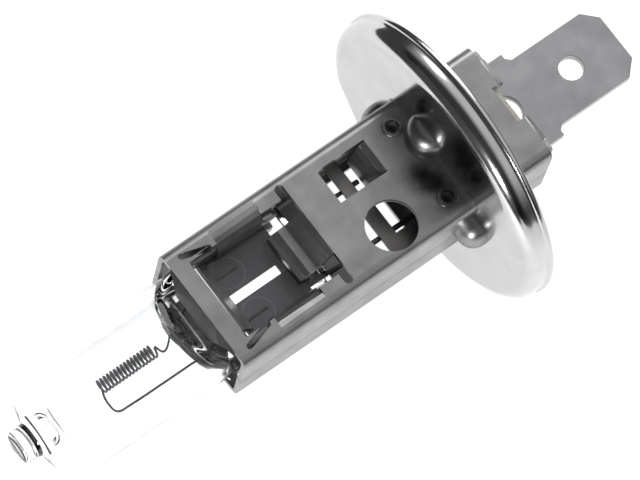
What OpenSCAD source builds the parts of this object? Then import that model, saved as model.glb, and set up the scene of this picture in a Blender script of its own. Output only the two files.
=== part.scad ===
// Single-filament halogen headlight bulb with a pre-focus ring cap and one blade terminal.
// +X points along the lamp axis towards the glass tip, +Z out of the front shell.
// The origin is the centre of the reference plane, the front face of the pre-focus ring.

/* [Glass] */
// Outer diameter of the quartz tube
tube_d = 9.0; // [8:0.1:9.4]
// Wall thickness of the quartz tube
tube_wall = 1.05; // [0.8:0.05:1.3]
// Distance from the reference plane to the start of the domed end
dome_x = 34.4; // [33:0.1:36]
// Thickness of the flat pinch seal
pinch_t = 2.8; // [2.4:0.1:3]
// Width of the flat pinch seal
pinch_w = 9.2; // [8.8:0.1:9.5]

/* [Filament] */
// Distance from the reference plane to the first turn
coil_x = 25.8; // [25.5:0.1:26]
// Length of the coiled part
coil_len = 5.0; // [4.5:0.1:5.5]
// Number of turns
coil_turns = 16; // [12:1:18]
// Middle diameter of the coil
coil_d = 1.05; // [0.9:0.05:1.3]
// Diameter of the tungsten wire
wire_d = 0.18; // [0.14:0.01:0.2]

/* [Shells] */
// Width of the sheet-metal sleeve
sleeve_w = 10.7; // [10.5:0.1:11]
// Depth of the sheet-metal sleeve
sleeve_h = 7.3; // [7.2:0.1:7.6]
// Sheet thickness
sheet = 0.45; // [0.4:0.05:0.5]
// Front end of the sleeve, before its gripping lips
sleeve_front = 21.8; // [21.6:0.1:22]
// Rear end of the sleeve, behind the ring
sleeve_back = -7.3; // [-7.6:0.1:-7]

/* [Ring] */
// Outside diameter of the pre-focus ring
ring_d = 25.0; // [24.6:0.1:25.4]
// Depth of the ring's turned-back rim
ring_depth = 2.25; // [2:0.05:2.5]
// Distance from the axis to the orientation flat
flat_r = 11.6; // [11.4:0.1:12]

/* [Terminal] */
// Width of the blade
blade_w = 6.3; // [6.2:0.1:6.4]
// Thickness of the blade
blade_t = 0.8; // [0.75:0.05:0.85]
// Distance from the reference plane to the blade's tip
blade_tip = 18.1; // [17.6:0.1:18.6]
// Diameter of the latch hole near the blade's tip
blade_hole = 2.0; // [1.8:0.1:2.2]

/* [Hidden] */
$fn = 64;
tiny = 0.01;
face_gap = 0.02;

// Glass
tube_x = 24.6;
pinch_front = 20.3;
pinch_back = 11.7;
tip_x = dome_x + 2.6;
tip_len = 1.7;
foil_x0 = 13.2;
foil_x1 = 19.3;
foil_w = 3.05;
foil_t = 0.05;
lead_y = 1.9;
pocket_gap = 0.04;

// Shells
half_w = sleeve_w / 2;
half_h = sleeve_h / 2;
inner_h = half_h - sheet;
bend_r = 0.85;
split_gap = 0.03;
win_x0 = 12.2;
win_x1 = 20.4;
win_y = 3.55;
slot_x0 = 11.05;
slot_y = 4.65;
slot_w = 0.75;
tongue_y = 2.05;
front_tongue_y = 2.95;
leaf_y0 = 3.15;
leaf_y1 = 3.55;
leaf_x0 = 13.6;
leaf_x1 = 17.8;
lip_len = 0.95;
lip_angle = 42;
lip_tip_y = 2.1;
box_win = [3.8, 8.25];
box_win_y = [-3.85, -0.8];
round_hole = [6.2, 2.8];
round_hole_d = 4.1;
bay_y = [-1.55, 1.7];
bay_depth = 0.62;
dimple_x = 1.4;
dimple_y = 3.4;
lug_r = 1.85;
lug_rise = 1.95;
lug_y = -1.3;
side_lug_r = 1.6;
side_lug_rise = 1.85;
low_lug_z = 1.8;
low_lug_rise = 1.5;
grip = pinch_t / 2 + face_gap;

// Ring
ring_sheet = 0.5;
rim_r = ring_d / 2 - 0.22;
rim_round = 1.25;
lip_w = 0.5;
collar_len = 1.6;

// Terminal and its insulation
blade_z = 0.36;
blade_top = blade_z + blade_t / 2;
blade_low = blade_z - blade_t / 2;
root_w = 7.9;
root_back = -9.95;
root_front = -1.6;
root_hole = [-7.35, 2.7];
block_front = -0.9;
block_back = -7.75;
block_w = sleeve_w - 2 * sheet - 0.1;
rivet_x = -3.2;
rivet_d = 1.4;

// Leads
pin_d = 0.45;
pin_y = 2.28;
strip_t = 0.3;

// ---- shared shapes ----

// A cylinder along X, from x0 to x1
module rod_x(x0, x1, d) {
    translate([x0, 0, 0]) rotate([0, 90, 0]) cylinder(h = x1 - x0, d = d);
}

// A profile of [x, r] points turned about the lamp axis
module turned(points) {
    rotate([0, 90, 0]) rotate([0, 0, 180]) rotate_extrude($fn = 96)
        polygon([for (p = points) [p[1], p[0]]]);
}

// Points of an arc about c, from angle a0 to a1
function arc(c, r, a0, a1, n) = [for (i = [0:n]) let (a = a0 + (a1 - a0) * i / n)
    [c[0] + r * cos(a), c[1] + r * sin(a)]];

// A side profile of [x, z] points, extruded from y0 to y1
module side_profile(points, y0, y1) {
    translate([0, y1, 0]) rotate([90, 0, 0]) linear_extrude(y1 - y0) polygon(points);
}

// A strip of sheet that follows a side path of [x, z] points, laid from y0 to y1
module bent_strip(path, t, y0, y1) {
    translate([0, y1, 0]) rotate([90, 0, 0]) linear_extrude(y1 - y0) bent_line(path, t);
}

// A strip of sheet that follows a cross path of [y, z] points, laid from x0 to x1
module bent_rail(path, t, x0, x1) {
    translate([x0, 0, 0]) rotate([90, 0, 90]) linear_extrude(x1 - x0) bent_line(path, t);
}

// The sheet's edge: a band of thickness t along a path, round at its bends
module bent_line(path, t) {
    n = len(path);
    for (i = [0:n - 2]) {
        a = path[i];
        b = path[i + 1];
        d = b - a;
        s = t / 2 / norm(d);
        side = [-d[1] * s, d[0] * s];
        polygon([a + side, b + side, b - side, a - side]);
        if (i > 0) translate(a) circle(d = t, $fn = 24);
    }
}

// ---- glass ----

// Outside of the tube: a rounded dome that closes on the exhaust tip
function dome_points(r, tip_r, x0, x1) = concat([[pinch_front - 0.3, 0], [pinch_front - 0.3, r], [x0, r]],
    [for (i = [1:9]) let (a = 90 * i / 10) [x0 + (x1 - x0) * sin(a), tip_r + (r - tip_r) * cos(a)]]);

module tube_outside() {
    tip_r = 1.75;
    turned(concat(dome_points(tube_d / 2, tip_r, dome_x, tip_x - 0.1),
        [[tip_x - 0.1, tip_r], [tip_x + 0.3, 1.5]],
        arc([tip_x + tip_len - 0.45, 0.9], 0.45, 90, 10, 4), [[tip_x + tip_len, 0]]));
}

// Side outline of the room above the shoulder: a ramp that steepens from the pinch up to the tube
shoulder_steps = 10;
function shoulder_z(s) = pinch_t / 2 + (tube_d / 2 + 0.3 - pinch_t / 2) * pow(s, 1.6);

module shoulder_cut() {
    side_profile(concat([[pinch_back - 3, 9], [pinch_back - 3, pinch_t / 2]],
        [for (i = [0:shoulder_steps]) let (s = i / shoulder_steps)
            [pinch_front + (tube_x - pinch_front) * s, shoulder_z(s)]], [[tube_x, 9]]), -9, 9);
}

module pinch_body() {
    translate([pinch_back, -pinch_w / 2, -pinch_t / 2])
        cube([pinch_front - pinch_back + tiny, pinch_w, pinch_t]);
}

module lead_pockets() {
    for (i = [-1, 1]) {
        translate([foil_x0 - pocket_gap, i * lead_y - foil_w / 2 - pocket_gap, -foil_t / 2 - pocket_gap])
            cube([foil_x1 - foil_x0 + 2 * pocket_gap, foil_w + 2 * pocket_gap, foil_t + 2 * pocket_gap]);
        translate([0, i * (lead_y + 0.04), lead_lift]) rod_x(leg_end - pocket_gap, cavity_x + 0.9, lead_bore);
        translate([0, i * pin_y, -pin_d / 2 - foil_t])
            rod_x(pinch_back - 1, pin_end + pocket_gap, pin_d + 2 * pocket_gap);
    }
}

cavity_x = 21.6;
wedge_len = 3.3;
leg_end = 16.8;
lead_lift = foil_t / 2 + wire_d / 2 + 0.02;
lead_bore = wire_d + 0.45;
pin_end = 14.6;

// Side outline of the glass above the cavity, which narrows like a wedge towards the pinch
function wedge_z(s) = -0.05 + (tube_d / 2 - tube_wall + 0.2) * pow(s, 1.2);

module wedge_cut() {
    side_profile(concat([[cavity_x - 3, 9], [cavity_x - 3, -0.05]],
        [for (i = [0:shoulder_steps]) let (s = i / shoulder_steps) [cavity_x + wedge_len * s, wedge_z(s)]],
        [[cavity_x + wedge_len, 9]]), -9, 9);
}

module cavity() {
    r = tube_d / 2 - tube_wall;
    difference() {
        turned(concat([[cavity_x - 0.3, 0], [cavity_x - 0.3, 2.6], [cavity_x + 0.6, r], [dome_x - 0.3, r]],
            [for (i = [1:8]) let (a = 90 * i / 8) [dome_x - 0.3 + 1.8 * sin(a), r * cos(a)]]));
        wedge_cut();
        mirror([0, 0, 1]) wedge_cut();
    }
}

module glass_envelope() {
    color([0.85, 0.9, 0.95, 0.35]) difference() {
        union() {
            difference() {
                tube_outside();
                shoulder_cut();
                mirror([0, 0, 1]) shoulder_cut();
            }
            pinch_body();
        }
        cavity();
        lead_pockets();
    }
}

// ---- filament ----

coil_y = -0.3;
function coil_point(a) = [coil_x + coil_len * a / (360 * coil_turns), coil_y + coil_d / 2 * sin(a),
    lead_lift + coil_d / 2 * cos(a)];
coil_steps = 12;
coil_path = [for (i = [0:coil_turns * coil_steps]) coil_point(i * 360 / coil_steps)];
short_leg = [[leg_end, -lead_y, lead_lift], [cavity_x, -lead_y, lead_lift], [25.05, 0.18, lead_lift],
    [25.35, 0.3, lead_lift + 0.1], [25.6, 0.1, lead_lift + 0.4]];
coil_end = coil_x + coil_len;
long_leg = [[coil_end + 0.1, 0.05, lead_lift + 0.4], [coil_end + 0.25, 0.7, lead_lift + 0.15],
    [coil_end + 0.2, 1.6, lead_lift], [coil_end - 0.1, 2, lead_lift], [coil_end - 0.7, 2.12, lead_lift],
    [26, 2.12, lead_lift], [22.5, 2.08, lead_lift], [19, lead_y, lead_lift], [leg_end, lead_y, lead_lift]];
filament_path = concat(short_leg, coil_path, long_leg);

// A round wire swept along a path: one ring of points a station, square to the local direction
module wire(path, d, sides) {
    n = len(path);
    points = [for (i = [0:n - 1])
        let (t = path[min(i + 1, n - 1)] - path[max(i - 1, 0)],
             dir = t / norm(t),
             ref = abs(dir[0]) < 0.8 ? [1, 0, 0] : [0, 0, 1],
             u0 = cross(dir, ref), u = u0 / norm(u0), v = cross(dir, u))
        for (k = [0:sides - 1]) let (a = 360 * k / sides)
            path[i] + (u * cos(a) + v * sin(a)) * d / 2];
    sides_faces = [for (i = [0:n - 2]) for (k = [0:sides - 1]) let (q = (k + 1) % sides)
        [i * sides + k, i * sides + q, (i + 1) * sides + q, (i + 1) * sides + k]];
    polyhedron(points, concat([[for (k = [sides - 1:-1:0]) k]], sides_faces,
        [[for (k = [0:sides - 1]) (n - 1) * sides + k]]));
}

module filament() {
    color([0.45, 0.45, 0.47]) wire(filament_path, wire_d, 6);
}

// ---- seal foils and outer pins ----

module foil(side) {
    translate([foil_x0, side * lead_y - foil_w / 2, -foil_t / 2])
        cube([foil_x1 - foil_x0, foil_w, foil_t]);
}

module foil_live() color([0.3, 0.3, 0.32]) foil(1);
module foil_ground() color([0.3, 0.3, 0.32]) foil(-1);

module pin(side, x0) {
    translate([0, side * pin_y, -pin_d / 2 - foil_t]) rod_x(x0, pin_end, pin_d);
}

module pin_live() color([0.4, 0.4, 0.42]) pin(1, 1.2);
module pin_ground() color([0.4, 0.4, 0.42]) pin(-1, 4.9);

// ---- sheet-metal shells ----

// Outline of the sleeve's section in [y, z], rounded at the bends
module sleeve_outline(grow) {
    w = half_w + grow;
    h = half_h + grow;
    r = bend_r + grow;
    polygon(concat(arc([w - r, h - r], r, 0, 90, 6), arc([r - w, h - r], r, 90, 180, 6),
        arc([r - w, r - h], r, 180, 270, 6), arc([w - r, r - h], r, 270, 360, 6)));
}

module sleeve_tube() {
    translate([sleeve_back, 0, 0]) rotate([90, 0, 90]) linear_extrude(sleeve_front - sleeve_back)
        difference() {
            sleeve_outline(0);
            sleeve_outline(-sheet);
        }
}

// Gripping lip at the glass end: a tapered tab that turns in towards the shoulder of the glass
module front_lip() {
    translate([sleeve_front - 0.25, 0, half_h - sheet / 2]) {
        rotate([0, lip_angle, 0]) translate([0, 0, -sheet / 2]) linear_extrude(sheet)
            polygon([[0, 1 - half_w], [lip_len + 0.2, -lip_tip_y],
                [lip_len + 0.2, lip_tip_y], [0, half_w - 1]]);
        rotate([90, 0, 0]) cylinder(h = sleeve_w - 2.2, d = sheet, center = true, $fn = 24);
    }
}

// The middle tongue that presses on the flat of the pinch
module pinch_tongue() {
    top = half_h - sheet / 2;
    bent_strip([[slot_x0 - 0.5, top], [slot_x0 - 0.02, top], [slot_x0 + 0.35, top - 0.25],
        [slot_x0 + 0.85, top - 0.8], [slot_x0 + 1.15, 2.35], [slot_x0 + 1.5, 2.25], [13.1, 2.2], [13.5, 2.05],
        [13.75, 1.8], [13.8, grip + 0.05]],
        sheet, -tongue_y, tongue_y);
}

// The window's front edge turned down and back, to press on the pinch from the other end
module front_tongue() {
    top = half_h - sheet / 2;
    bent_strip([[win_x1 + 0.4, top], [win_x1, top], [win_x1 - 0.25, top - 0.2], [win_x1 - 0.6, 2.6],
        [win_x1 - 1, 1.95], [win_x1 - 1.2, grip + sheet / 2]], sheet, -front_tongue_y, front_tongue_y);
}

// A leaf spring rolled down from one long side of the window; its free ends reach along the pinch
module side_leaf(side) {
    top = half_h - sheet / 2;
    edge = win_y + 0.9;
    bent_rail([[side * (edge + 0.3), top], [side * edge, top], [side * (edge - 0.35), top - 0.08],
        [side * (edge - 0.65), top - 0.32], [side * (leaf_y0 + 0.35), top - 0.7],
        [side * (leaf_y0 + 0.24), 2.5], [side * (leaf_y0 + 0.22), grip]], sheet, leaf_x0, leaf_x1);
    slope = atan((leaf_y1 - leaf_y0) / (win_x1 - win_x0));
    translate([win_x0, side * leaf_y0, 0]) rotate([0, 0, side * slope])
        side_profile(concat(arc([0.75, grip + 0.62], 0.6, 270, 100, 8),
            [[1.9, 2.75], [5.6, 2.75], [6.1, 2.35], [7.6, 2.2]],
            arc([8.0, grip + 0.35], 0.35, 80, -90, 6)), side > 0 ? 0 : -sheet, side > 0 ? sheet : 0);
}

// Half-barrel lug that butts on the ring
module lug_dome(r, rise) {
    rounding = min(1.25, r - 0.2, rise - 0.05);
    rotate_extrude($fn = 64) polygon(concat([[0, -0.6], [r, -0.6]],
        arc([r - rounding, rise - rounding], rounding, 0, 90, 6), [[0, rise]]));
}

module front_lug() {
    translate([-0.4, lug_y, half_h]) lug_dome(lug_r, lug_rise);
}

// The lug on the +Y wall is shared by both shells; the one on the -Y wall sits low, on the rear shell
module side_lug(side, less) {
    translate([0, 0, side < 0 ? low_lug_z : 0]) rotate([-90 * side, 0, 0])
        translate([0, 0, half_w])
            lug_dome(side_lug_r - less, (side < 0 ? low_lug_rise : side_lug_rise) - less);
}

module lug_bores(low) {
    hollow = 0.38;
    translate([-0.4, lug_y, half_h]) lug_dome(lug_r - hollow, lug_rise - hollow);
    side_lug(1, hollow);
    if (low) side_lug(-1, hollow);
}

// Room in front of the ring: lugs are sheared off flush with its face
module lug_space() {
    translate([0.005, -half_w - 3, -half_h - 3]) cube([4, sleeve_w + 6, sleeve_h + 6]);
}

module window_cuts() {
    translate([slot_x0, -slot_y + slot_w / 2, 0]) cube([slot_w, 2 * slot_y - slot_w, 9]);
    for (side = [-1, 1]) {
        translate([slot_x0 + slot_w / 2, side * (slot_y - slot_w / 2), 0]) cylinder(h = 9, d = slot_w);
        translate([leaf_x0, side * (win_y + 0.45) - 0.47, 0]) cube([leaf_x1 - leaf_x0, 0.94, 9]);
    }
    translate([slot_x0 + tiny, -win_y, 0]) cube([win_x1 - slot_x0 - tiny, 2 * win_y, 9]);
    for (side = [-1, 1]) translate([win_x1 - 1.9, side * (win_y + 0.1), 0]) rotate([0, 0, side * 16]) {
        cylinder(h = 9, d = 0.5);
        translate([0, -0.25, 0]) cube([2.2, 0.5, 9]);
        translate([2.2, 0, 0]) cylinder(h = 9, d = 0.5);
    }
}

module box_window_cut() {
    translate([box_win[0], box_win_y[0], 0])
        cube([box_win[1] - box_win[0], box_win_y[1] - box_win_y[0], 9]);
}

// Tongue bent down from the rear edge of the small window to meet the ground pin
module weld_tongue() {
    top = half_h - sheet / 2;
    bent_strip([[box_win[0] - 0.4, top], [box_win[0], top], [box_win[0] + 0.35, top - 0.25],
        [box_win[0] + 0.65, top - 0.8], [box_win[0] + 0.9, 1.6], [box_win[0] + 1.0, 0.55]],
        sheet, box_win_y[0] + 0.12, box_win_y[1] - 0.12);
}

// Raised weld points beside the lug, each with a ring-shaped crater
module weld_dimples() {
    for (side = [-1, 1]) translate([dimple_x, side * dimple_y, half_h - sheet]) difference() {
        cylinder(h = sheet + 0.12, d1 = 1.9, d2 = 1.6);
        translate([0, 0, 0.2]) cylinder(h = 1, d = 1.0);
    }
}

module half_shell(low) {
    difference() {
        union() {
            difference() {
                sleeve_tube();
                window_cuts();
                for (side = [-1, 1]) translate([dimple_x, side * dimple_y, 0]) cylinder(h = 9, d = 1.0);
            }
            front_lip();
            pinch_tongue();
            front_tongue();
            side_leaf(-1);
            side_leaf(1);
            weld_dimples();
            intersection() {
                union() {
                    front_lug();
                    side_lug(1, 0);
                    if (low) side_lug(-1, 0);
                }
                lug_space();
            }
        }
        lug_bores(low);
        translate([-50, -50, -100 + split_gap]) cube([100, 100, 100]);
    }
}

// Rolled rear edge that turns down over the insulator
module rear_roll() {
    bent_strip([[sleeve_back + 0.35, half_h - sheet / 2], [sleeve_back, half_h - sheet / 2 - 0.05],
        [sleeve_back - 0.32, half_h - sheet / 2 - 0.4], [sleeve_back - 0.35, 2.35]],
        sheet, -half_w + 1.5, half_w - 1.5);
}

// The front shell has the two small windows, and a bay in its rear edge over the blade's root hole
module front_shell() {
    color([0.58, 0.58, 0.6]) difference() {
        union() {
            difference() {
                half_shell(false);
                box_window_cut();
                translate([round_hole[0], round_hole[1], 0]) cylinder(h = 9, d = round_hole_d);
            }
            weld_tongue();
            rear_roll();
        }
        translate([sleeve_back - 3, bay_y[0], 1.5]) cube([3 + bay_depth, bay_y[1] - bay_y[0], 9]);
        translate([-50, -50, -100 + split_gap]) cube([100, 100, 100]);
    }
}

module rear_shell() {
    color([0.56, 0.56, 0.58]) difference() {
        mirror([0, 0, 1]) half_shell(true);
        translate([box_win[0] - 0.5, -half_w + 1.2, -9]) cube([5.6, sleeve_w - 2.4, 9]);
    }
}

// ---- pre-focus ring ----

module base_ring() {
    corner = arc([-rim_round, rim_r - rim_round], rim_round, 0, 90, 6);
    inner = arc([-rim_round, rim_r - rim_round], rim_round - ring_sheet, 90, 0, 4);
    edge = ring_d / 2;
    color([0.7, 0.7, 0.72]) difference() {
        union() {
            turned(concat([[0, 0]], corner, [[lip_w - ring_depth, rim_r], [lip_w - ring_depth - 0.05, edge],
                [-ring_depth, edge], [-ring_depth, rim_r - ring_sheet]], inner, [[-ring_sheet, 0]]));
            translate([-ring_sheet - collar_len, 0, 0]) rotate([90, 0, 90])
                linear_extrude(collar_len + 0.1) sleeve_outline(face_gap + ring_sheet);
            intersection() {
                turned(concat([[0, 0]], corner, [[-ring_depth, rim_r], [-ring_depth, 0]]));
                rotate([-45, 0, 0]) translate([-ring_depth, -8, -flat_r]) cube([ring_depth, 16, ring_sheet]);
            }
        }
        translate([-10, 0, 0]) rotate([90, 0, 90]) linear_extrude(20) sleeve_outline(face_gap);
        rotate([-45, 0, 0]) translate([-10, -20, -flat_r - 20]) cube([20, 40, 20]);
    }
}

// ---- insulator, blade and its fixing ----

// One ceramic half: fills the sleeve behind the ring, with the blade's bed cut across it
module insulator_half(z0, z1) {
    lobe_r = 1.5;
    difference() {
        intersection() {
            translate([block_back, -block_w / 2, z0]) cube([block_front - block_back, block_w, z1 - z0]);
            translate([sleeve_back - 1, 0, 0]) rotate([90, 0, 90]) linear_extrude(12)
                sleeve_outline(-sheet - 0.05);
            union() {
                translate([-6, 0, 0]) cube([12, block_w, sleeve_h], center = true);
                translate([block_back + lobe_r, 0, 0])
                    cube([2 * lobe_r + 2, root_w, sleeve_h], center = true);
                for (side = [-1, 1]) translate([block_back + lobe_r, side * (block_w / 2 - lobe_r), -9])
                    cylinder(h = 18, r = lobe_r);
            }
        }
        translate([root_hole[0] - 4, -root_w / 2 - 0.02, blade_low - 0.02])
            cube([4 + root_front - root_hole[0] + 0.02, root_w + 0.04, blade_t + 0.04]);
        translate([rivet_x, 0, -9]) cylinder(h = 18, d = rivet_d + 0.04);
    }
}

strip_space_y = [-0.9, 4.4];

module insulator_front() {
    color([0.8, 0.79, 0.76]) difference() {
        insulator_half(blade_top + 0.02, inner_h - 0.05);
        translate([rivet_x - 1.3, strip_space_y[0], blade_low])
            cube([9, strip_space_y[1] - strip_space_y[0], blade_t + strip_t + 0.04]);
        translate([rivet_x, 0, 2.3]) cylinder(h = 9, d = 2.7);
        translate([root_hole[0] - 3, -root_w / 2, blade_low]) cube([3.2, root_w, 9]);
    }
}

module insulator_rear() {
    color([0.8, 0.79, 0.76]) difference() {
        insulator_half(-inner_h + 0.05, blade_low - 0.02);
        translate([rivet_x, 0, -9]) cylinder(h = 9 - 2.3, d = 2.9);
        translate([root_hole[0] - 3, -root_w / 2, -9]) cube([3.2, root_w, 9 + blade_top]);
    }
}

module blade_outline() {
    tip = -blade_tip;
    chamfer = 1.15;
    relief = 0.4;
    side = [[root_front, root_w / 2], [root_back, root_w / 2], [root_back, blade_w / 2 + relief],
        [root_back - relief, blade_w / 2], [tip + chamfer, blade_w / 2], [tip, blade_w / 2 - chamfer]];
    polygon(concat(side, [for (i = [len(side) - 1:-1:0]) [side[i][0], -side[i][1]]]));
}

module blade_terminal() {
    bevel = 0.22;
    color([0.62, 0.62, 0.64]) difference() {
        translate([0, 0, blade_low]) linear_extrude(blade_t) blade_outline();
        translate([-blade_tip + 4.4, 0, -5]) cylinder(h = 10, d = blade_hole);
        translate([root_hole[0], 0, -5]) cylinder(h = 10, d = root_hole[1]);
        translate([rivet_x, 0, -5]) cylinder(h = 10, d = rivet_d + 0.04);
        for (side = [0, 1]) translate([0, 0, blade_z]) mirror([0, 0, side])
            translate([-blade_tip, 0, blade_t / 2]) rotate([0, -35, 0])
                translate([-1, -5, 0]) cube([1 + bevel, 10, 1]);
    }
}

// Nickel strip: a cross arm welded on the live pin, then a run back to the blade's root
module live_strip() {
    low = -foil_t + face_gap;
    high = blade_top + face_gap;
    run_y = [2.75, 4.2];
    color([0.55, 0.55, 0.57]) difference() {
        union() {
            translate([5.2, -0.2, low]) cube([1.25, run_y[1] + 0.2, strip_t]);
            side_profile([[5.4, low], [5.4, low + strip_t], [1.2, low + strip_t], [0.3, high + strip_t],
                [rivet_x - 1.2, high + strip_t], [rivet_x - 1.2, high], [0.15, high], [1.05, low]],
                run_y[0], run_y[1]);
            translate([rivet_x - 1.2, -0.8, high]) cube([2.4, run_y[1] - 0.1 + 0.8, strip_t]);
        }
        translate([rivet_x, 0, -5]) cylinder(h = 10, d = rivet_d + 0.04);
    }
}

// Ground strip: lies across the ground pin and is welded to the sleeve's side wall
module ground_strip() {
    low = -foil_t + face_gap;
    color([0.58, 0.58, 0.6]) union() {
        translate([5.55, -half_w + sheet + 0.05, low]) cube([1.1, 3.9, strip_t]);
        translate([5.55, -half_w + sheet + 0.05, low]) cube([1.1, strip_t, 2.2]);
    }
}

module rivet() {
    color([0.66, 0.62, 0.5]) translate([rivet_x, 0, 0]) {
        translate([0, 0, -2.35]) cylinder(h = 4.7, d = rivet_d);
        translate([0, 0, 2.3 + face_gap]) cylinder(h = 0.5, d = 2.4);
        translate([0, 0, -3.1]) cylinder(h = 0.55, d = 2.2);
        translate([0, 0, -2.6]) cylinder(h = 0.4, d = rivet_d);
    }
}

module rivet_washer() {
    color([0.7, 0.7, 0.72]) translate([rivet_x, 0, -2.3 - 0.22]) difference() {
        cylinder(h = 0.2, d = 2.7);
        translate([0, 0, -1]) cylinder(h = 3, d = rivet_d + 0.04);
    }
}

glass_envelope();
filament();
foil_live();
foil_ground();
pin_live();
pin_ground();
front_shell();
rear_shell();
base_ring();
insulator_front();
insulator_rear();
blade_terminal();
live_strip();
ground_strip();
rivet();
rivet_washer();
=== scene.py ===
# %% [markdown]
# # A halogen headlight bulb
#
# The bulb is a quartz tube held in a stamped sheet-metal sleeve, which is welded through a polished round
# ring. A flat blade at the back takes the plug. The CAD model fixes where everything is. This lesson gives
# each piece its finished shape and surface.

# %% Load the frame
import math
import bmesh
import bpy
import numpy as np
from mathutils import Matrix, Vector


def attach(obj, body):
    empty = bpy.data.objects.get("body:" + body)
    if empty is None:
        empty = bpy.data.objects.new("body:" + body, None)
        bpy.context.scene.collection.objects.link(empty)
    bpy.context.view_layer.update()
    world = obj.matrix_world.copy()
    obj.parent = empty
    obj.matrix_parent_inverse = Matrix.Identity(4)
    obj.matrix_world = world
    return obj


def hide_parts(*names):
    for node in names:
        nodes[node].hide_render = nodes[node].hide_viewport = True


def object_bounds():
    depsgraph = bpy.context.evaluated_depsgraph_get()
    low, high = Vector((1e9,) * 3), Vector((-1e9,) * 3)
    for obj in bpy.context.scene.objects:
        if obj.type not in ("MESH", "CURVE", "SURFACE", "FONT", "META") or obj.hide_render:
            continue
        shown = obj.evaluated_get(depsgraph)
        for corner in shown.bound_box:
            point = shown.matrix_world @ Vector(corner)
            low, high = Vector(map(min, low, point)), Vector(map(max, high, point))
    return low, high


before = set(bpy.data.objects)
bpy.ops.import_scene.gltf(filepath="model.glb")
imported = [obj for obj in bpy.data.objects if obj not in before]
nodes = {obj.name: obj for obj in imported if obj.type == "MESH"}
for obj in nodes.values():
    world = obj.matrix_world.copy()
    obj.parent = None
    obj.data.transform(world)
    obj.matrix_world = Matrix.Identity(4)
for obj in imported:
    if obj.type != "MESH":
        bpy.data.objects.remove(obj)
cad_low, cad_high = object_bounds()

MM = 0.001
print("CAD box in mm:", [round(v / MM, 2) for v in (*cad_low, *cad_high)])

# %% [markdown]
# ## Small helpers
#
# A colour given here is an sRGB hex value, and a shader wants linear light, so one function turns one
# into the other. Another adds a node together with its settings and its links, which keeps a material down
# to a line for each node.


# %% Colour and node helpers
def linear(hex_colour):
    """sRGB hex to linear RGBA: c/12.92 below 0.04045, else ((c + 0.055)/1.055)^2.4."""
    c = np.array([int(hex_colour[i:i + 2], 16) for i in (1, 3, 5)]) / 255.0
    lin = np.where(c <= 0.04045, c / 12.92, ((c + 0.055) / 1.055) ** 2.4)
    return (*lin.tolist(), 1.0)


def add(tree, kind, settings=None, links=None):
    """Adds a node, sets its properties and fills its inputs: a socket is linked, the rest are values."""
    node = tree.nodes.new(kind)
    for key, value in (settings or {}).items():
        setattr(node, key, value)
    for key, value in (links or {}).items():
        socket = node.inputs[key]
        if isinstance(value, bpy.types.NodeSocket):
            tree.links.new(value, socket)
        else:
            socket.default_value = value
    return node


def empty_material(name):
    """A named material and its node tree, with no nodes in it."""
    material = bpy.data.materials.new(name)
    material.use_nodes = True
    material.node_tree.nodes.clear()
    return material, material.node_tree


def start_material(name):
    """An empty material, its node tree, and the object coordinates in millimetres."""
    material, tree = empty_material(name)
    place = add(tree, "ShaderNodeTexCoord").outputs["Object"]
    mm = add(tree, "ShaderNodeVectorMath", {"operation": "SCALE"}, {0: place, "Scale": 1 / MM}).outputs[0]
    return material, tree, mm


def end_material(tree, **inputs):
    """Closes a tree with a Principled shader; words in the input names are joined by an underscore."""
    named = {key.replace("_", " "): value for key, value in inputs.items()}
    shader = add(tree, "ShaderNodeBsdfPrincipled", None, named)
    add(tree, "ShaderNodeOutputMaterial", None, {"Surface": shader.outputs[0]})


print("#808080 in linear light:", round(linear("#808080")[0], 3))

# %% [markdown]
# ## Finishes
#
# The sleeve is cold-rolled steel strip, stamped and then tumbled: a satin mid-grey metal with a faint
# grain along the roll and cloudy patches where handling has dulled it. The grain is really about 0.02 mm
# wide. That is too fine to show, so it is drawn at about 0.1 mm. The same finish takes a list of places to
# darken. On the rear shell they are the dark halos that welding leaves round each weld point. On the front
# shell they are painted shade, round the weld dimples and along the ring, where the plate falls into shadow.


# %% Satin sheet metal
# The darkening mask: painted shade on the front shell, weld halos on the rear shell.
def halo_and_painted_shade_mask(tree, mm, places):
    """1 - product of smooth steps, each 0 at a place (x, y, z) and 1 at its radius in mm.

    Noise moves each step's edge by up to `ragged` mm, so the distance starts from its mean, half of that.
    """
    ragged = 0.9
    rag = add(tree, "ShaderNodeTexNoise", None, {"Vector": mm, "Scale": 0.9, "Detail": 3.0}).outputs[0]
    clear = 1.0
    for x, y, z, radius in places:
        far = add(tree, "ShaderNodeVectorMath", {"operation": "DISTANCE"},
                  {0: mm, 1: (x, y, z)}).outputs["Value"]
        far = add(tree, "ShaderNodeMath", {"operation": "MULTIPLY_ADD"},
                  {0: rag, 1: ragged, 2: far}).outputs[0]
        step = add(tree, "ShaderNodeMapRange", {"interpolation_type": "SMOOTHSTEP"},
                   {"Value": far, "From Min": ragged / 2, "From Max": radius + ragged / 2}).outputs[0]
        clear = add(tree, "ShaderNodeMath", {"operation": "MULTIPLY"}, {0: clear, 1: step}).outputs[0]
    return add(tree, "ShaderNodeMath", {"operation": "SUBTRACT"}, {0: 1.0, 1: clear}).outputs[0]


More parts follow.
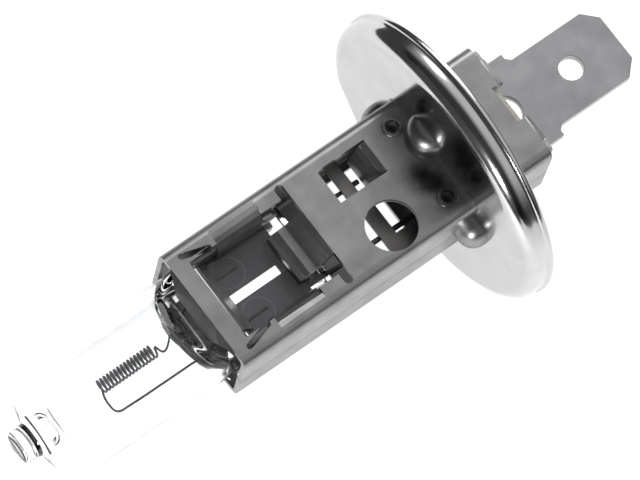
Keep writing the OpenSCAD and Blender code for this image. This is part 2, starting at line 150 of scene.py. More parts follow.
def sheet_metal(name, light, dark, rough, grain=(1.6, 0.11, 0.11), places=()):
    """Rolled sheet: grain is the size in mm of one streak along X, Y and Z; the places are darkened, used for
    weld halos and for painted shade.

    Streaks are `relief` mm high. They and the pits each spread the roughness round `rough`.
    """
    relief, streak_spread, pit_spread = 0.0016, 0.14, 0.08
    material, tree, mm = start_material(name)
    along = add(tree, "ShaderNodeMapping", None,
                {"Vector": mm, "Scale": tuple(1 / g for g in grain)}).outputs[0]
    streak = add(tree, "ShaderNodeTexNoise", None, {"Vector": along, "Scale": 1.0, "Detail": 3.0}).outputs[0]
    cloud = add(tree, "ShaderNodeTexNoise", None, {"Vector": mm, "Scale": 0.45, "Detail": 4.0}).outputs[0]
    pit = add(tree, "ShaderNodeTexNoise", None, {"Vector": mm, "Scale": 3.1, "Detail": 2.0}).outputs[0]
    tone = add(tree, "ShaderNodeMapRange", None,
               {"Value": cloud, "From Min": 0.3, "From Max": 0.7}).outputs[0]
    colour = add(tree, "ShaderNodeMix", {"data_type": "RGBA"},
                 {"Factor": tone, 6: linear(dark), 7: linear(light)}).outputs[2]
    # Darkens the places towards #2b2a2a: painted shade on the front shell, weld halos on the rear shell.
    if places:
        mask = halo_and_painted_shade_mask(tree, mm, places)
        colour = add(tree, "ShaderNodeMix", {"data_type": "RGBA"},
                     {"Factor": mask, 6: colour, 7: linear("#2b2a2a")}).outputs[2]
    worn = add(tree, "ShaderNodeMath", {"operation": "MULTIPLY_ADD"},
               {0: streak, 1: streak_spread, 2: rough - (streak_spread + pit_spread) / 2}).outputs[0]
    worn = add(tree, "ShaderNodeMath", {"operation": "MULTIPLY_ADD"},
               {0: pit, 1: pit_spread, 2: worn}).outputs[0]
    bump = add(tree, "ShaderNodeBump", None, {"Height": streak, "Distance": relief * MM, "Strength": 1.0})
    end_material(tree, Base_Color=colour, Metallic=1.0, Roughness=worn, Normal=bump.outputs[0])
    return material


# Painted shade on the front shell: dark patches round the two weld dimples and along the ring, where the
# plate lies in shadow.
front_painted_shade = [(1.4, -3.4, 3.5, 1.1), (1.4, 3.4, 3.5, 1.6), (1.9, 1.0, 3.5, 2.1), (1.5, 2.2, 3.5, 1.8)]
rear_weld_marks = [(1.4, 3.4, -3.65, 2.0), (1.4, -3.4, -3.65, 2.0)]
sleeve_steel = sheet_metal("Stamped_cold_rolled_steel_satin", "#a2a2a2", "#8b8b8c", 0.36, places=front_painted_shade)
back_steel = sheet_metal("Stamped_cold_rolled_steel_satin_rear", "#9c9c9c", "#858586", 0.38,
                         places=rear_weld_marks)
blade_tin = sheet_metal("Tinned_brass_satin", "#a6a6a8", "#929395", 0.33, grain=(1.2, 0.14, 0.14))
strip_nickel = sheet_metal("Rolled_nickel_strip", "#9b9997", "#7f7d7c", 0.4, grain=(0.9, 0.1, 0.1))
rivet_nickel = sheet_metal("Headed_nickel_plated_rivet", "#aca79c", "#8f8a80", 0.3, grain=(0.4, 0.4, 0.4))
washer_nickel = sheet_metal("Stamped_nickel_plated_washer", "#b3b0aa", "#999690", 0.32, grain=(0.5, 0.2, 0.2))
sheets = [sleeve_steel, back_steel, blade_tin, strip_nickel, rivet_nickel, washer_nickel]
print("sheet metals:", [sheet.name for sheet in sheets])

# %% [markdown]
# The ring is drawn from the same kind of steel, then polished and bright-plated, so it mirrors the sleeve
# that stands on it. A faint turned pattern of circles round the lamp axis is left by the polishing wheel.
# The lines are a function of the distance from the axis alone.


# %% Polished ring
def polished_ring(name):
    """Bright plate: circles about 0.1 mm apart and 0.0011 mm high, with smears that dull it a little."""
    material, tree, mm = start_material(name)
    split = add(tree, "ShaderNodeSeparateXYZ", None, {"Vector": mm})
    flat = add(tree, "ShaderNodeCombineXYZ", None,
               {"Y": split.outputs["Y"], "Z": split.outputs["Z"]}).outputs[0]
    radius = add(tree, "ShaderNodeVectorMath", {"operation": "LENGTH"}, {0: flat}).outputs["Value"]
    line = add(tree, "ShaderNodeCombineXYZ", None, {"X": radius, "Y": split.outputs["X"]}).outputs[0]
    wheel = add(tree, "ShaderNodeTexNoise", None, {"Vector": line, "Scale": 9.0, "Detail": 3.0}).outputs[0]
    smear = add(tree, "ShaderNodeTexNoise", None, {"Vector": mm, "Scale": 0.3, "Detail": 3.0}).outputs[0]
    rough = add(tree, "ShaderNodeMapRange", None,
                {"Value": smear, "From Min": 0.35, "From Max": 0.7, "To Min": 0.1, "To Max": 0.2}).outputs[0]
    colour = add(tree, "ShaderNodeMix", {"data_type": "RGBA"},
                 {"Factor": smear, 6: linear("#d6d6d6"), 7: linear("#bdbdbe")}).outputs[2]
    bump = add(tree, "ShaderNodeBump", None, {"Height": wheel, "Distance": 0.0011 * MM, "Strength": 1.0})
    end_material(tree, Base_Color=colour, Metallic=1.0, Roughness=rough, Normal=bump.outputs[0])
    return material


ring_plate = polished_ring("Polished_bright_plated_steel")
print("ring finish:", ring_plate.name)

# %% [markdown]
# The envelope is fused quartz, IOR 1.458. It is flame-worked, so the surface is smooth but very slightly
# rippled along the tube. A glass shader on a closed solid with a closed cavity bends light at both walls,
# which draws the dark lines along the tube's edges.


# %% Quartz
def fused_quartz(name):
    """Clear glass with a ripple about 8 mm long, 2 mm wide and 0.02 mm high, which wavers its highlights."""
    material, tree, mm = start_material(name)
    along = add(tree, "ShaderNodeMapping", None, {"Vector": mm, "Scale": (0.12, 0.5, 0.5)}).outputs[0]
    ripple = add(tree, "ShaderNodeTexNoise", None, {"Vector": along, "Scale": 1.0, "Detail": 1.0}).outputs[0]
    bump = add(tree, "ShaderNodeBump", None, {"Height": ripple, "Distance": 0.02 * MM, "Strength": 1.0})
    end_material(tree, Base_Color=linear("#fdfeff"), Metallic=0.0, Roughness=0.0, IOR=1.458,
                 Transmission_Weight=1.0, Normal=bump.outputs[0])
    return material


quartz = fused_quartz("Fused_quartz_flame_polished")
print("quartz finish:", quartz.name)

# %% [markdown]
# Tungsten wire is drawn and then fired, and goes dark grey. The molybdenum foils are etched to feather
# edges and look like dull lead through the quartz. Each one carries a round press mark, where the lead
# wire was welded to it. The mark is a ring in the colour, at a set distance from the weld.


# %% Refractory metals
def fired_wire(name, light, dark, rough):
    """Drawn wire: small blotches of oxide about 0.3 mm long, which spread the roughness round `rough`."""
    spread = 0.2
    material, tree, mm = start_material(name)
    oxide = add(tree, "ShaderNodeTexNoise", None, {"Vector": mm, "Scale": 3.0, "Detail": 3.0}).outputs[0]
    colour = add(tree, "ShaderNodeMix", {"data_type": "RGBA"},
                 {"Factor": oxide, 6: linear(light), 7: linear(dark)}).outputs[2]
    worn = add(tree, "ShaderNodeMath", {"operation": "MULTIPLY_ADD"},
               {0: oxide, 1: spread, 2: rough - spread / 2}).outputs[0]
    end_material(tree, Base_Color=colour, Metallic=1.0, Roughness=worn)
    return material


def etched_foil(name, light, dark, marks):
    """Etched sheet with ring-shaped press marks: each is (x, y, z, radius) in mm, 0.1 mm wide."""
    half_width, strength = 0.05, 0.55
    material, tree, mm = start_material(name)
    etch = add(tree, "ShaderNodeTexNoise", None, {"Vector": mm, "Scale": 2.2, "Detail": 4.0}).outputs[0]
    colour = add(tree, "ShaderNodeMix", {"data_type": "RGBA"},
                 {"Factor": etch, 6: linear(dark), 7: linear(light)}).outputs[2]
    for x, y, z, radius in marks:
        far = add(tree, "ShaderNodeVectorMath", {"operation": "DISTANCE"},
                  {0: mm, 1: (x, y, z)}).outputs["Value"]
        ring = add(tree, "ShaderNodeMath", {"operation": "COMPARE"},
                   {0: far, 1: radius, 2: half_width}).outputs[0]
        ring = add(tree, "ShaderNodeMath", {"operation": "MULTIPLY"}, {0: ring, 1: strength}).outputs[0]
        colour = add(tree, "ShaderNodeMix", {"data_type": "RGBA"},
                     {"Factor": ring, 6: colour, 7: linear("#8d8d8f")}).outputs[2]
    end_material(tree, Base_Color=colour, Metallic=1.0, Roughness=0.55)
    return material


tungsten = fired_wire("Drawn_tungsten_fired", "#6a6a6c", "#4a4a4d", 0.42)
moly_pin = fired_wire("Drawn_molybdenum", "#77777a", "#5a5a5e", 0.4)
press_marks = [(17.6, 1.9, 0, 1.25), (17.6, -1.9, 0, 1.25)]
moly_foil = etched_foil("Etched_molybdenum_foil", "#757578", "#616165", press_marks)
print("refractory metals:", [metal.name for metal in (tungsten, moly_pin, moly_foil)])

# %% [markdown]
# Steatite is a pressed and fired ceramic: matt, off-white, with fine grey specks about 0.2 mm apart.


# %% Steatite
def steatite(name):
    """Pressed ceramic: the specks darken the colour and lift the surface by up to 0.01 mm."""
    material, tree, mm = start_material(name)
    speck = add(tree, "ShaderNodeTexNoise", None, {"Vector": mm, "Scale": 5.0, "Detail": 2.0}).outputs[0]
    spots = add(tree, "ShaderNodeMapRange", None,
                {"Value": speck, "From Min": 0.55, "From Max": 0.75}).outputs[0]
    colour = add(tree, "ShaderNodeMix", {"data_type": "RGBA"},
                 {"Factor": spots, 6: linear("#cfcabf"), 7: linear("#a9a49a")}).outputs[2]
    bump = add(tree, "ShaderNodeBump", None, {"Height": speck, "Distance": 0.01 * MM, "Strength": 0.8})
    end_material(tree, Base_Color=colour, Metallic=0.0, Roughness=0.78, Normal=bump.outputs[0])
    return material


ceramic = steatite("Pressed_steatite_unglazed")
print("ceramic finish:", ceramic.name)

# %% [markdown]
# ## Surfaces from arrays
#
# A turned or lofted piece is a grid of points: one row for each step along the piece, one column for each
# step round it. Joining neighbours gives the faces. Where a row shrinks to a point its corners are merged,
# which closes the pole.


# %% Grid to mesh
def grid_faces(rows, columns, close_rows=False):
    """Quads between neighbours of a rows x columns grid, closed round its columns and, if asked, its rows."""
    i, j = np.meshgrid(np.arange(rows if close_rows else rows - 1), np.arange(columns), indexing="ij")
    down, right = (i + 1) % rows, (j + 1) % columns
    corners = [i * columns + j, i * columns + right, down * columns + right, down * columns + j]
    return np.stack(corners, -1).reshape(-1, 4)


def outward(points, faces, inside_out=False):
    """Turns faces so that the volume, the sum of a . (b x c) / 6 over triangles, is above (or below) zero."""
    volume = 0.0
    for tri in ((0, 1, 2), (0, 2, 3)):
        a, b, c = (points[faces[:, k]] for k in tri)
        volume += np.einsum("ij,ij->i", a, np.cross(b, c)).sum() / 6
    return faces[:, ::-1] if (volume < 0) != inside_out else faces


def in_scene(name, data):
    """A new object for a mesh, a light or a camera, linked to the scene."""
    thing = bpy.data.objects.new(name, data)
    bpy.context.scene.collection.objects.link(thing)
    return thing


def to_object(name, points, faces, angle):
    """Points in mm and quads to a smooth object, its doubles merged and edges sharper than `angle` marked."""
    mesh = bpy.data.meshes.new(name)
    mesh.from_pydata(points * MM, [], faces)
    bm = bmesh.new()
    bm.from_mesh(mesh)
    bmesh.ops.remove_doubles(bm, verts=bm.verts, dist=0.002 * MM)
    bmesh.ops.dissolve_degenerate(bm, edges=bm.edges, dist=0.0005 * MM)
    bm.to_mesh(mesh)
    bm.free()
    mesh.polygons.foreach_set("use_smooth", np.ones(len(mesh.polygons), bool))
    mesh.set_sharp_from_angle(angle=math.radians(angle))
    return in_scene(name, mesh)


def settle(piece, material, slot, *stands_for):
    """Gives a piece its finish and its place in the frame, and hides the CAD nodes that it stands for. The
    slot is not used.
    """
    piece.data.materials.clear()
    piece.data.materials.append(material)
    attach(piece, "root")
    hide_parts(*stands_for)
    print(f"{piece.name}: {len(piece.data.polygons)} faces")
    return piece


# %% [markdown]
# ## The quartz envelope
#
# The real one starts as a tube. One end is softened and pinched flat round the foils, and the other is
# drawn in and sealed at a small tip. So the outside is a tube held below a height that follows the jaws:
# flat over the pinch, then a ramp. The cavity is made the same way: it narrows like a wedge towards the
# pinch. Its faces are turned towards the axis, because that is away from the quartz.


# %% Envelope
FREE = 9.0  # a clip height that is never reached, in mm
TUBE_RADIUS, BORE_RADIUS = 4.49, 3.45


def clipped_tube(x, radius, height, columns):
    """y = r cos a, z = r sin a held below +-h by a soft minimum, (|r sin a|^-p + h^-p)^(-1/p) with p = 16."""
    a = np.arange(columns) * 2 * np.pi / columns
    y = radius[:, None] * np.cos(a)
    z = np.abs(radius[:, None] * np.sin(a)) + 1e-6
    h = height[:, None] + 1e-6
    held = z * (1 + (z / h) ** 16) ** (-1 / 16)
    return np.stack([np.broadcast_to(x[:, None], y.shape), y, held * np.sign(np.sin(a) + 1e-12)], -1)


def envelope_outside():
    """Pinch of half height 1.38 to 20.3, ramp h = 1.38 + 3.36 s^1.6 to 24.6, then the round tube.

    The dome falls from 34.2 to a neck at 36.9, whose radius is 1.34 + 0.6 e^-(x - 36.82)/0.28, and the
    tip rounds off at 38.7.
    """
    pinch_half, pinch_end, ramp_end, dome_start, tip_start, tip_radius = 1.38, 20.3, 24.6, 34.2, 38.3, 1.34
    quarter = np.pi / 2
    pinch_x = np.concatenate([[11.72, 11.72, 11.76, 11.9], np.linspace(12.2, pinch_end, 16)])
    pinch_size = np.concatenate([[0, 0.96, 0.985, 1.0], np.ones(16)])
    ramp_x = np.linspace(pinch_end, ramp_end, 48)[1:]
    tube_x = np.linspace(ramp_end, dome_start, 24)[1:]
    a = np.linspace(0, 1, 34)[1:] * quarter
    dome_x, dome_r = dome_start + 2.62 * np.sin(a), 1.95 + 2.54 * np.cos(a) ** 0.9
    neck_x = np.linspace(36.86, tip_start, 14)
    neck_r = tip_radius + 0.6 * np.exp(-(neck_x - 36.82) / 0.28)
    b = np.linspace(0, 1, 12)[1:] * quarter
    tip_x, tip_r = tip_start + 0.4 * np.sin(b), tip_radius * np.clip(np.cos(b), 0, 1) ** 0.55
    ramp_h = pinch_half + 3.36 * ((ramp_x - pinch_end) / (ramp_end - pinch_end)) ** 1.6
    x = np.concatenate([pinch_x, ramp_x, tube_x, dome_x, neck_x, tip_x])
    radius = np.concatenate([TUBE_RADIUS * pinch_size, np.full(len(ramp_x) + len(tube_x), TUBE_RADIUS),
                             dome_r, neck_r, tip_r])
    height = np.concatenate([pinch_half * pinch_size, ramp_h,
                             np.full(len(x) - len(pinch_x) - len(ramp_x), FREE)])
    return clipped_tube(x, radius, height, 160)


def envelope_cavity():
    """A wedge h = 3.6 s^1.2 opens from 21.65 to 24.9, then a bore of radius 3.45 to 33.9, and a dome."""
    wedge_start, wedge_length, bore_start, dome_start = 21.65, 3.25, 24.9, 33.9
    s = np.linspace(0, 1, 40) ** 1.5
    wedge_x, wedge_h = wedge_start + wedge_length * s, 3.6 * s ** 1.2
    wedge_r = 2.6 + 0.85 * np.clip((wedge_x - wedge_start) / 0.6, 0, 1) ** 0.5
    wedge_r[0] = 0
    bore_x = np.linspace(bore_start, dome_start, 24)[1:]
    b = np.linspace(0, 1, 24)[1:] * np.pi / 2
    dome_x, dome_r = dome_start + 1.95 * np.sin(b), BORE_RADIUS * np.clip(np.cos(b), 0, 1)
    radius = np.concatenate([wedge_r, np.full(len(bore_x), BORE_RADIUS), dome_r])
    height = np.concatenate([wedge_h, np.full(len(bore_x) + len(dome_x), FREE)])
    return clipped_tube(np.concatenate([wedge_x, bore_x, dome_x]), radius, height, 128)


out_grid, in_grid = envelope_outside(), envelope_cavity()
out_points, in_points = out_grid.reshape(-1, 3), in_grid.reshape(-1, 3)
out_faces = outward(out_points, grid_faces(*out_grid.shape[:2]))
in_faces = outward(in_points, grid_faces(*in_grid.shape[:2]), inside_out=True)
envelope = to_object("quartz_envelope", np.concatenate([out_points, in_points]),
                     np.concatenate([out_faces, in_faces + len(out_points)]), 50)
settle(envelope, quartz, "quartz_glass", "glass_envelope")

# %% [markdown]
# ## Wires
#
# The filament is one wire: two straight legs and a coil between them. Its centre line is worked out as
# points, and a round section is carried along it. The section needs two directions square to the wire.
# On the legs one of them is +Z and on the coil it is the coil's own axis, +X, so the guide direction
# fades from one to the other and the section never flips.


# %% Wire along a path
def carried(path, radius, guide, columns):
    """P = path + r (u cos a + v sin a), u the guide made square to the tangent t, v = t x u; ends closed."""
    t = np.gradient(path, axis=0)
    t /= np.linalg.norm(t, axis=1, keepdims=True)
    u = guide - (guide * t).sum(1, keepdims=True) * t
    u /= np.linalg.norm(u, axis=1, keepdims=True)
    v = np.cross(t, u)
    r = np.broadcast_to(radius, len(path)).astype(float)
    path = np.concatenate([path[:1], path, path[-1:]])
    u, v = (np.concatenate([d[:1], d, d[-1:]]) for d in (u, v))
    r = np.concatenate([[0], r, [0]])
    a = np.arange(columns) * 2 * np.pi / columns
    wave = u[:, None] * np.cos(a)[None, :, None] + v[:, None] * np.sin(a)[None, :, None]
    return path[:, None] + r[:, None, None] * wave


def rounded(points, steps, reach):
    """A polyline with each corner replaced by a quadratic curve that starts and ends `reach` from it."""
    points = np.asarray(points, float)
    a, b, c = points[:-2], points[1:-1], points[2:]
    before, after = a - b, c - b
    cut_a = np.minimum(reach, 0.45 * np.linalg.norm(before, axis=1))[:, None]
    cut_c = np.minimum(reach, 0.45 * np.linalg.norm(after, axis=1))[:, None]
    p = b + before / np.linalg.norm(before, axis=1, keepdims=True) * cut_a
    q = b + after / np.linalg.norm(after, axis=1, keepdims=True) * cut_c
    t = np.linspace(0, 1, steps)[None, :, None]
    arcs = (1 - t) ** 2 * p[:, None] + 2 * t * (1 - t) * b[:, None] + t * t * q[:, None]
    return np.concatenate([points[:1], arcs.reshape(-1, 3), points[-1:]])


def closed_piece(name, grid, angle):
    """A grid whose first and last rows have shrunk to a point, made into one closed object."""
    points = grid.reshape(-1, 3)
    return to_object(name, points, outward(points, grid_faces(*grid.shape[:2])), angle)


COIL = dict(x=25.8, length=5.0, turns=16, radius=0.53, y=-0.3, z=0.13)
STEPS_PER_TURN, WIRE_RADIUS, LEG_STEPS = 28, 0.09, 7
turn = np.linspace(0, COIL["turns"], COIL["turns"] * STEPS_PER_TURN + 1)
angle = 2 * np.pi * turn
coil = np.stack([COIL["x"] + COIL["length"] * turn / COIL["turns"],
                 COIL["y"] + COIL["radius"] * np.sin(angle), COIL["z"] + COIL["radius"] * np.cos(angle)], -1)
short_leg = rounded([(16.8, -1.9, 0.13), (21.6, -1.9, 0.13), (25.3, 0.36, 0.16), (25.7, -0.4, 0.62)],
                    LEG_STEPS, 0.5)
long_leg = rounded([(30.87, 0.0, 0.62), (31.1, 0.7, 0.3), (31.0, 2.05, 0.13), (28.5, 2.12, 0.13),
                    (22.0, 2.1, 0.13), (16.8, 1.9, 0.13)], LEG_STEPS, 0.6)
line = np.concatenate([short_leg, coil, long_leg])
on_coil = np.concatenate([np.linspace(0, 1, len(short_leg)) ** 4, np.ones(len(coil)),
                          np.linspace(1, 0, len(long_leg)) ** 4])[:, None]
guide = (1 - on_coil) * np.array([0, 0, 1.0]) + on_coil * np.array([1.0, 0, 0])
settle(closed_piece("tungsten_filament", carried(line, WIRE_RADIUS, guide, 10), 60),
       tungsten, "tungsten_wire", "filament")

# %% [markdown]
# The two outer pins are thicker wire, pressed flat for a millimetre where the strips are welded on. The
# foils are lens-shaped in section, thickest in the middle and almost nothing at their edges, which is what
# lets quartz seal to metal.


# %% Pins and foils
def pin(name, y, x0, x1, flat_x):
    """A straight wire of radius r (1 - 0.2 e^-((x - flat_x) / 0.35)^2), thinner by a fifth at the weld."""
    wire_radius, z, end_cut = 0.215, -0.275, 0.05
    x = np.concatenate([[x0], np.linspace(x0 + end_cut, x1 - end_cut, 60), [x1]])
    r = wire_radius * (1 - 0.2 * np.exp(-((x - flat_x) / 0.35) ** 2))
    r[[0, -1]] *= 0.75
    path = np.stack([x, np.full_like(x, y), np.full_like(x, z)], -1)
    return closed_piece(name, carried(path, r, np.broadcast_to(np.array([0, 0, 1.0]), path.shape), 20), 40)


def foil(name, y):
    """Half thickness 0.025 (1 - v^4) + 0.002, v = cos a across the foil from -1 to 1; square ends."""
    half_width, steps = 1.52, 24
    a = np.linspace(0, 2 * np.pi, 48, endpoint=False)
    across, up = np.cos(a), np.sin(a)
    x = np.linspace(13.22, 19.28, steps)
    x = np.concatenate([x[:1], x, x[-1:]])
    size = np.concatenate([[0], np.ones(steps), [0]])
    half = 0.025 * (1 - across ** 4) + 0.002
    yy = y + half_width * across * size[:, None]
    zz = half * np.sign(up) * size[:, None] * (np.abs(up) > 0.01)
    return closed_piece(name, np.stack([np.broadcast_to(x[:, None], yy.shape), yy, zz], -1), 60)


settle(pin("molybdenum_pin_live", 2.28, 1.22, 14.6, 5.8), moly_pin, "molybdenum_pin", "pin_live")
settle(pin("molybdenum_pin_ground", -2.28, 4.92, 14.6, 6.7), moly_pin, "molybdenum_pin", "pin_ground")
settle(foil("molybdenum_foil_live", 1.9), moly_foil, "molybdenum_foil", "foil_live")
settle(foil("molybdenum_foil_ground", -1.9), moly_foil, "molybdenum_foil", "foil_ground")

# %% [markdown]
# ## The polished ring
#
# The ring is one drawn disc: a flat face with a hole for the sleeve, a rounded corner, a turned-back rim
# and a narrow lip, and a collar round the hole. Its outline is a circle with one straight side that sets
# it the right way round in the lamp. So a profile is carried round: near the rim it follows the
# outline, and near the hole it follows the sleeve's rounded rectangle.


# %% Ring outlines
def rim_outline(a):
    """Distance to a circle of 12.28 cut by a line 11.38 out at 225 degrees; -k log(sum e^-d/k), k = 0.06."""
    k, near = 0.06, 12
    circle = np.full_like(a, 12.28)
    toward = np.cos(a - math.radians(225))
    line = 11.38 / np.where(toward > 0.2, toward, 0.2)
    return near - k * np.log(np.exp(-(circle - near) / k) + np.exp(-(np.minimum(line, 14) - near) / k))


def hole_outline(a, grow):
    """Distance from the axis to a rounded rectangle, where a ray at angle a crosses its sides or bends."""
    width, height, bend = 10.7, 7.3, 0.85
    w, h, r = width / 2 + grow, height / 2 + grow, bend + grow
    c, s = np.abs(np.cos(a)) + 1e-9, np.abs(np.sin(a)) + 1e-9
    box = np.minimum(w / c, h / s)
    cx, cy = w - r, h - r
    along = cx * c + cy * s
    corner = along + np.sqrt(np.maximum(along ** 2 - (cx ** 2 + cy ** 2 - r ** 2), 0))
    in_corner = (box * c > cx) & (box * s > cy)
    return np.where(in_corner, np.minimum(corner, box), box)


def ring_profile():
    """Rows (x, t, g): t = 0 follows the hole, grown by g mm; t = 1 follows the rim, drawn in by g mm.

    They run out over the front face, round the corner of radius R, along the rim, over the lip, and back
    inside the sheet to the collar.
    """
    sheet, R = 0.5, 1.25
    q = np.linspace(0, np.pi / 2, 9)
    rows = [(-0.08 + 0.08 * np.sin(b), 0, 0.02 + 0.08 - 0.08 * np.cos(b)) for b in q]
    rows += [(0.0, t, 0.1 * (1 - t) + R * t) for t in np.linspace(0, 1, 26)[1:-1]]
    rows += [(-R + R * np.cos(b), 1, R - R * np.sin(b)) for b in np.linspace(0, np.pi / 2, 17)]
    rows += [(x, 1, 0.0) for x in np.linspace(-R - 0.08, -1.6, 4)]
    rows += [(-1.72, 1, -0.05), (-1.76, 1, -0.14), (-1.82, 1, -0.2), (-1.95, 1, -0.215), (-2.12, 1, -0.205),
             (-2.21, 1, -0.14), (-2.24, 1, 0.0), (-2.24, 1, 0.3), (-2.22, 1, sheet - 0.05), (-2.15, 1, sheet)]
    rows += [(x, 1, sheet) for x in np.linspace(-2.0, -R - 0.08, 4)]
    rows += [(-R + (R - sheet) * np.cos(b), 1, R - (R - sheet) * np.sin(b))
             for b in np.linspace(np.pi / 2, 0, 12)]
    rows += [(-sheet, t, 0.85 * (1 - t) + R * t) for t in np.linspace(1, 0, 14)[1:-1]]
    rows += [(-sheet - 0.3 + 0.3 * np.cos(b), 0, 0.82 - 0.3 * np.sin(b)) for b in q[::2]]
    rows += [(-1.2, 0, 0.52), (-2.0, 0, 0.52), (-2.09, 0, 0.45), (-2.09, 0, 0.08), (-2.05, 0, 0.02),
             (-1.2, 0, 0.02)]
    return np.array(rows)


def ring_surface():
    """Distance from the axis = (1 - t) (hole + g) + t (rim - g), at each x of the profile."""
    columns = 360
    a = np.arange(columns) * 2 * np.pi / columns
    rows = ring_profile()
    x, t, g = rows[:, :1], rows[:, 1:2], rows[:, 2:]
    distance = (1 - t) * hole_outline(a[None] + 0 * x, g) + t * (rim_outline(a[None] + 0 * x) - g)
    return np.stack([x + 0 * distance, distance * np.cos(a), distance * np.sin(a)], -1)


ring_grid = ring_surface()
ring_points = ring_grid.reshape(-1, 3)
ring_faces = outward(ring_points, grid_faces(*ring_grid.shape[:2], close_rows=True))
ring = to_object("focus_ring", ring_points, ring_faces, 40)
settle(ring, ring_plate, "polished_steel_ring", "base_ring")

# %% [markdown]
# ## Stamped pieces
#
# The sleeve's two shells, the blade and the strips are flat sheet, cut and bent, and their CAD shape is
# already right. What the CAD model lacks is the slightly broken edge that tumbling gives, and that thin
# line of light is what makes sheet metal look real. So each one is copied, its loose triangles are merged
# back into whole faces, and a narrow bevel goes round every edge. The washer, the rivet and the two pressed
# ceramic halves are finished the same way, the last three with a wider, rounder edge.


# %% Tumbled edges
def tumbled(name, node, edge, segments):
    """A merged copy of a CAD node with a bevel of `edge` mm on each edge sharper than 28 degrees."""
    mesh = nodes[node].data.copy()
    mesh.name = name
    bm = bmesh.new()
    bm.from_mesh(mesh)
    bmesh.ops.remove_doubles(bm, verts=bm.verts, dist=0.002 * MM)
    bmesh.ops.dissolve_limit(bm, angle_limit=math.radians(1.0), verts=bm.verts, edges=bm.edges)
    for face in bm.faces:
        face.smooth = True
    bm.to_mesh(mesh)
    bm.free()
    piece = in_scene(name, mesh)
    bevel = piece.modifiers.new("broken edge", "BEVEL")
    bevel.width = edge * MM
    bevel.segments = segments
    bevel.limit_method = "ANGLE"
    bevel.angle_limit = math.radians(28.0)
    bevel.use_clamp_overlap = True
    weighted = piece.modifiers.new("flat faces stay flat", "WEIGHTED_NORMAL")
    weighted.mode = "FACE_AREA"
    weighted.weight = 100
    weighted.keep_sharp = True
    return piece


stamped = [("sleeve_front_shell", "front_shell", 0.07, 2, sleeve_steel, "stamped_steel_front"),
           ("sleeve_rear_shell", "rear_shell", 0.07, 2, back_steel, "stamped_steel_rear"),
           ("blade", "blade_terminal", 0.08, 2, blade_tin, "tinned_brass_blade"),
           ("live_lead_strip", "live_strip", 0.05, 2, strip_nickel, "nickel_strip_live"),
           ("ground_lead_strip", "ground_strip", 0.05, 2, strip_nickel, "nickel_strip_ground"),
           ("steatite_front_half", "insulator_front", 0.15, 3, ceramic, "steatite_front"),
           ("steatite_rear_half", "insulator_rear", 0.15, 3, ceramic, "steatite_rear"),
           ("blade_rivet", "rivet", 0.18, 3, rivet_nickel, "nickelled_rivet"),
           ("blade_washer", "rivet_washer", 0.04, 2, washer_nickel, "nickelled_washer")]
for name, node, edge, segments, finish, slot in stamped:
    settle(tumbled(name, node, edge, segments), finish, slot, node)

# %% [markdown]
# ## Stage, light and camera
#
# The floor is a plain matt board. It glows a little by itself, which keeps it nearly white under soft light
# and hides most of the shadow. A stage piece isn't part of the model, so it is not attached to the bulb's
# body. A stage piece isn't part of the model, so it is left out of the size.


# %% Floor
def plain_material(name, **inputs):
    """A material whose finish is the same all over."""
    material, tree = empty_material(name)
    end_material(tree, **inputs)
    return material


def pale_floor(name, height):
    """A square board of 3 m at a height in metres."""
    side = 1.5
    corners = [(-side, -side, height), (side, -side, height), (side, side, height), (-side, side, height)]
    mesh = bpy.data.meshes.new(name)
    mesh.from_pydata(corners, [], [(0, 1, 2, 3)])
    board = plain_material("Matt_white_board", Base_Color=linear("#e4e4e4"), Roughness=0.9,
                           Specular_IOR_Level=0.1, Emission_Color=(1, 1, 1, 1), Emission_Strength=0.65)
    mesh.materials.append(board)
    floor = in_scene(name, mesh)
    return floor


floor = pale_floor("floor", cad_low.z - 0.1 * MM)
print("floor at", round(floor.data.vertices[0].co.z / MM, 2), "mm")

# %% [markdown]
# Polished metal looks like whatever it reflects. The world is light overhead on the blade's side and dark at
# the horizon and past the glass tip, which gives the rim, the lugs and the edges of the glass their dark
# lines. What the camera sees directly past the floor is plain board.


# %% World
def studio_world():
    """Strength = a smooth step up in Z times a smooth step down in X; a camera ray sees plain board."""
    world = bpy.data.worlds.new("studio")
    bpy.context.scene.world = world
    world.use_nodes = True
    tree = world.node_tree
    tree.nodes.clear()
    ray = add(tree, "ShaderNodeTexCoord").outputs["Generated"]
    split = add(tree, "ShaderNodeSeparateXYZ", None, {"Vector": ray})
    rise = add(tree, "ShaderNodeMapRange", {"interpolation_type": "SMOOTHSTEP"},
               {"Value": split.outputs["Z"], "From Min": 0.15, "From Max": 0.75,
                "To Min": 0.1, "To Max": 1.0}).outputs[0]
    side = add(tree, "ShaderNodeMapRange", {"interpolation_type": "SMOOTHSTEP"},
               {"Value": split.outputs["X"], "From Min": 0.3, "From Max": -0.3,
                "To Min": 0.05, "To Max": 0.72}).outputs[0]
    glow = add(tree, "ShaderNodeMath", {"operation": "MULTIPLY"}, {0: rise, 1: side}).outputs[0]
    room = add(tree, "ShaderNodeBackground", None, {"Color": (1, 1, 1, 1), "Strength": glow}).outputs[0]
    seen = add(tree, "ShaderNodeBackground", None, {"Color": linear("#f2f2f2"), "Strength": 1.0}).outputs[0]
    path = add(tree, "ShaderNodeLightPath").outputs["Is Camera Ray"]
    both = add(tree, "ShaderNodeMixShader", None, {"Fac": path, 1: room, 2: seen}).outputs[0]
    add(tree, "ShaderNodeOutputWorld", None, {"Surface": both})


studio_world()
print("world:", bpy.context.scene.world.name)

# %% [markdown]
# Two square softboxes light the bulb. The key is large and stands high behind the blade on the -Y side, so
# the metal turned that way is bright and the rest falls off softly. A small weak one past the glass tip
# puts a glint on the lugs and on the ring's corner. Two dark cards, one past the tip and one on the -Y side,
# are there only to be reflected, and to be seen through the quartz, whose outline they darken.


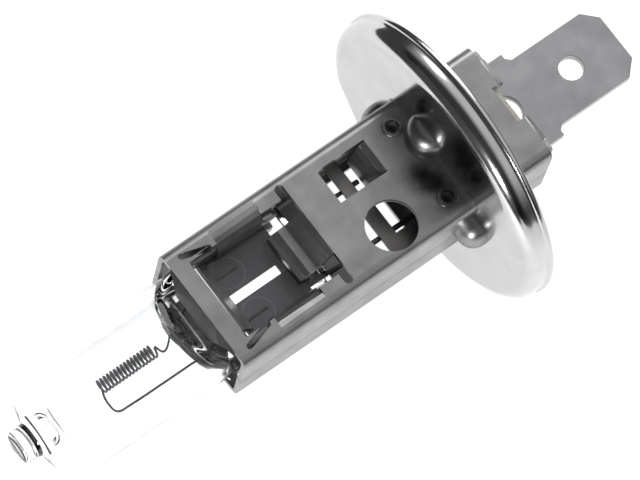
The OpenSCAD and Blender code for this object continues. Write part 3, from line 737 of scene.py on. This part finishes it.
# %% Lamps and cards
def softbox(name, place, size, power):
    """A square area light at `place`, in mm, turned to face the middle of the bulb."""
    middle = Vector((10.0, 0.0, 0.0)) * MM
    light = bpy.data.lights.new(name, "AREA")
    light.shape = "SQUARE"
    light.size = size * MM
    light.energy = power
    lamp = in_scene(name, light)
    lamp.location = Vector(place) * MM
    lamp.rotation_euler = (middle - lamp.location).to_track_quat("-Z", "Y").to_euler()
    return lamp


def flag(name, centre, half, axis):
    """A dark card square to axis X or Y, from the floor up to `centre`, reaching `half` mm to each side."""
    u = np.array([0, half, 0] if axis == "X" else [half, 0, 0], float)
    high = np.array(centre, float)
    low = np.array([*centre[:2], cad_low.z / MM - 0.05])
    mesh = bpy.data.meshes.new(name)
    mesh.from_pydata(np.array([low - u, low + u, high + u, high - u]) * MM, [], [(0, 1, 2, 3)])
    mesh.materials.append(plain_material("Black_flock_card", Base_Color=linear("#4a4a4a"), Roughness=1.0,
                                         Specular_IOR_Level=0.0))
    card = in_scene(name, mesh)
    card.visible_camera = card.visible_diffuse = card.visible_shadow = False
    return card


softbox("key_softbox", (-330, -300, 260), 420, 1.8)
softbox("lug_glint", (64, 42, 30), 16, 0.035).visible_camera = False
flag("flag_past_tip", (80, 0, 70), 110, "X")
flag("flag_left", (0, -75, 32), 110, "Y")
print("lamps:", [light.name for light in bpy.data.lights])

# %% [markdown]
# The camera stands almost over the bulb, a long way back, so that parallel edges stay parallel. Three
# angles place it: the glass end is tipped 16.4 degrees towards it, the bulb is rolled 12 degrees about its
# own axis, and the picture is turned 34.35 degrees. The lens follows from the width in mm that the picture
# takes in at the bulb, as seen from that distance.


# %% Camera
tip, roll, turned = (math.radians(v) for v in (16.4, 12.0, 34.35))
across = np.array([-math.cos(tip), math.sin(tip) * math.sin(roll), math.sin(tip) * math.cos(roll)])
down = np.array([0.0, math.cos(roll), -math.sin(roll)])
right = math.cos(turned) * across + math.sin(turned) * down
up = math.sin(turned) * across - math.cos(turned) * down
back = np.cross(right, up)
look_at, distance, view_width, sensor_width = np.array([10.22, -0.144, 0.0]), 450.0, 48.04805, 36.0
lens = bpy.data.cameras.new("camera")
lens.sensor_width = sensor_width
lens.lens = sensor_width * distance / view_width
lens.clip_start, lens.clip_end = 0.01, 20.0
camera = in_scene("camera", lens)
place = (look_at + back * distance) * MM
camera.matrix_world = Matrix([*np.column_stack([right, up, back, place]).tolist(), [0, 0, 0, 1]])
bpy.context.scene.camera = camera
bpy.context.scene.view_settings.view_transform = "Standard"
print("camera at", np.round(place / MM, 1), "lens", round(lens.lens, 1))
